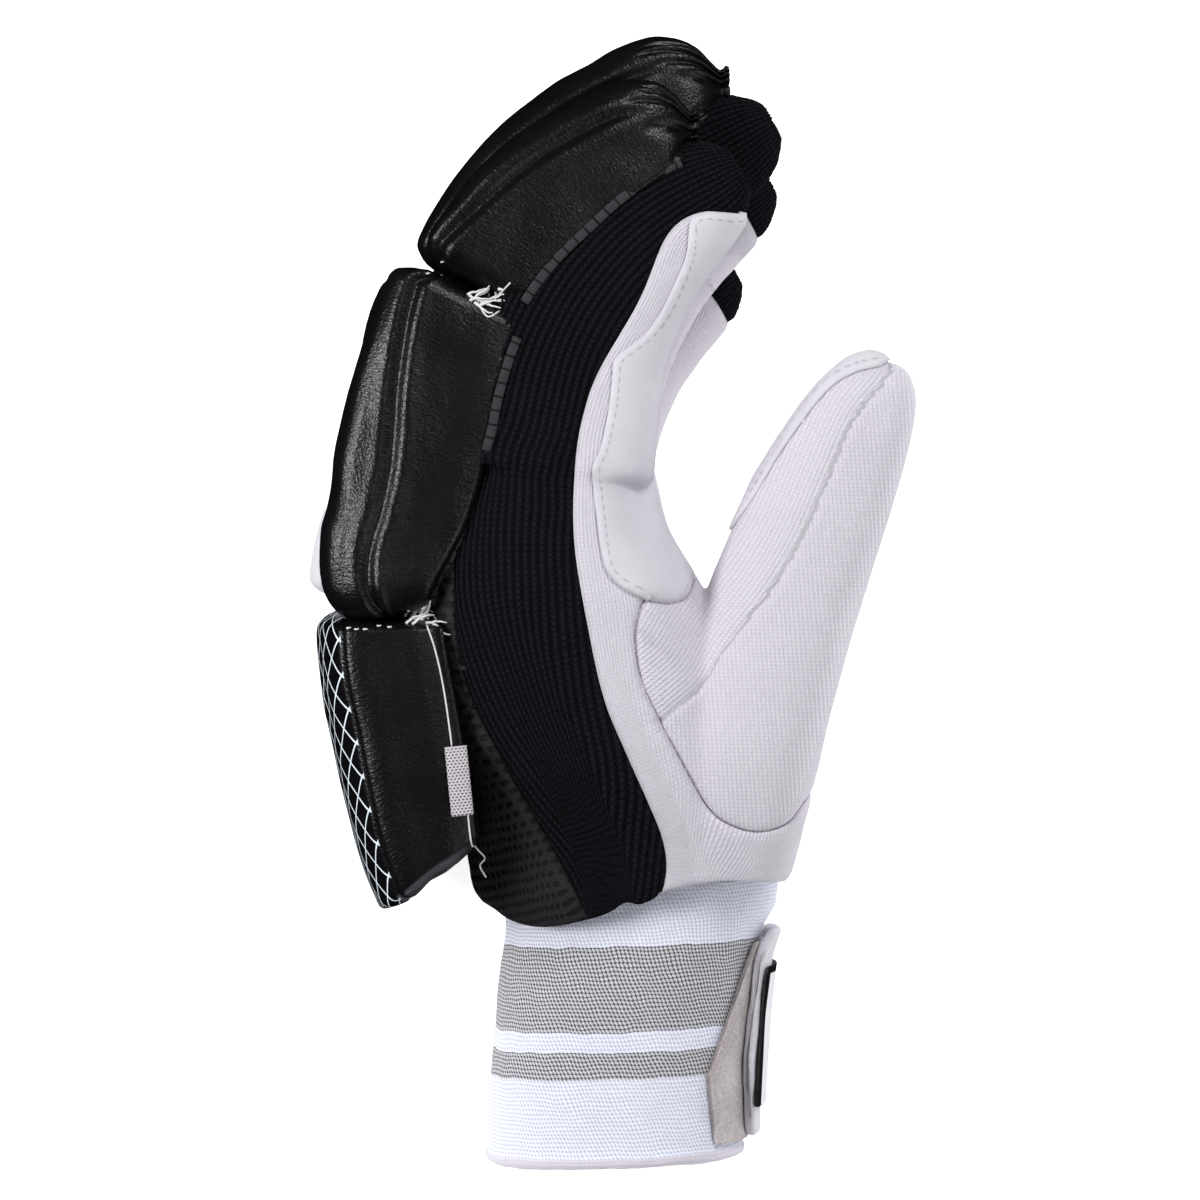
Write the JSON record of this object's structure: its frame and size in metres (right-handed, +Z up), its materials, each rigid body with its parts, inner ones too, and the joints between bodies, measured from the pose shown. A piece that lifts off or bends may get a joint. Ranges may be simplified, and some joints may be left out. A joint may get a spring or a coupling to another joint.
{
  "type": "cricket batting glove",
  "caption": "Left-hand cricket batting glove with padded black back rolls, ribbed side gusset, white palm and striped wrist band.",
  "frame": {"origin": "on the floor under the little-finger side of the hand, where the glove rests", "axes": "+X from the back of the hand to the palm, +Y from the cuff to the fingertips, +Z up, from the little finger to the index finger"},
  "size_m": [0.1502, 0.2775, 0.0967],
  "materials": {
    "black_leather": "soft grain, half gloss",
    "black_knit": "ribbed knit",
    "black_mesh": "spacer mesh with holes",
    "white_palm": "matt, knit-backed",
    "white_leather": "smooth",
    "white_elastic": "elastic knit with two grey stripes",
    "grey_ribbon": "woven",
    "loop_strip": "loop pile"
  },
  "bodies": {
    "root": {"back_mesh": "black_mesh", "back_pad": "black_leather", "cuff": "white_elastic", "index_knit": "black_knit", "index_knuckle_roll": "black_leather", "index_tip_roll": "black_leather", "knuckle_flash": "white_leather", "little_knit": "black_knit", "little_knuckle_roll": "black_leather", "little_tip_roll": "black_leather", "middle_knit": "black_knit", "middle_knuckle_roll": "black_leather", "middle_tip_roll": "black_leather", "palm": "white_palm", "palm_patch": "white_leather", "ring_knit": "black_knit", "ring_knuckle_roll": "black_leather", "ring_tip_roll": "black_leather", "side_label": "grey_ribbon", "strap_base": "loop_strip", "strap_patch": "white_leather", "strap_tab": "loop_strip", "thumb": "white_palm", "thumb_facing": "white_leather"}
  },
  "joints": []
}
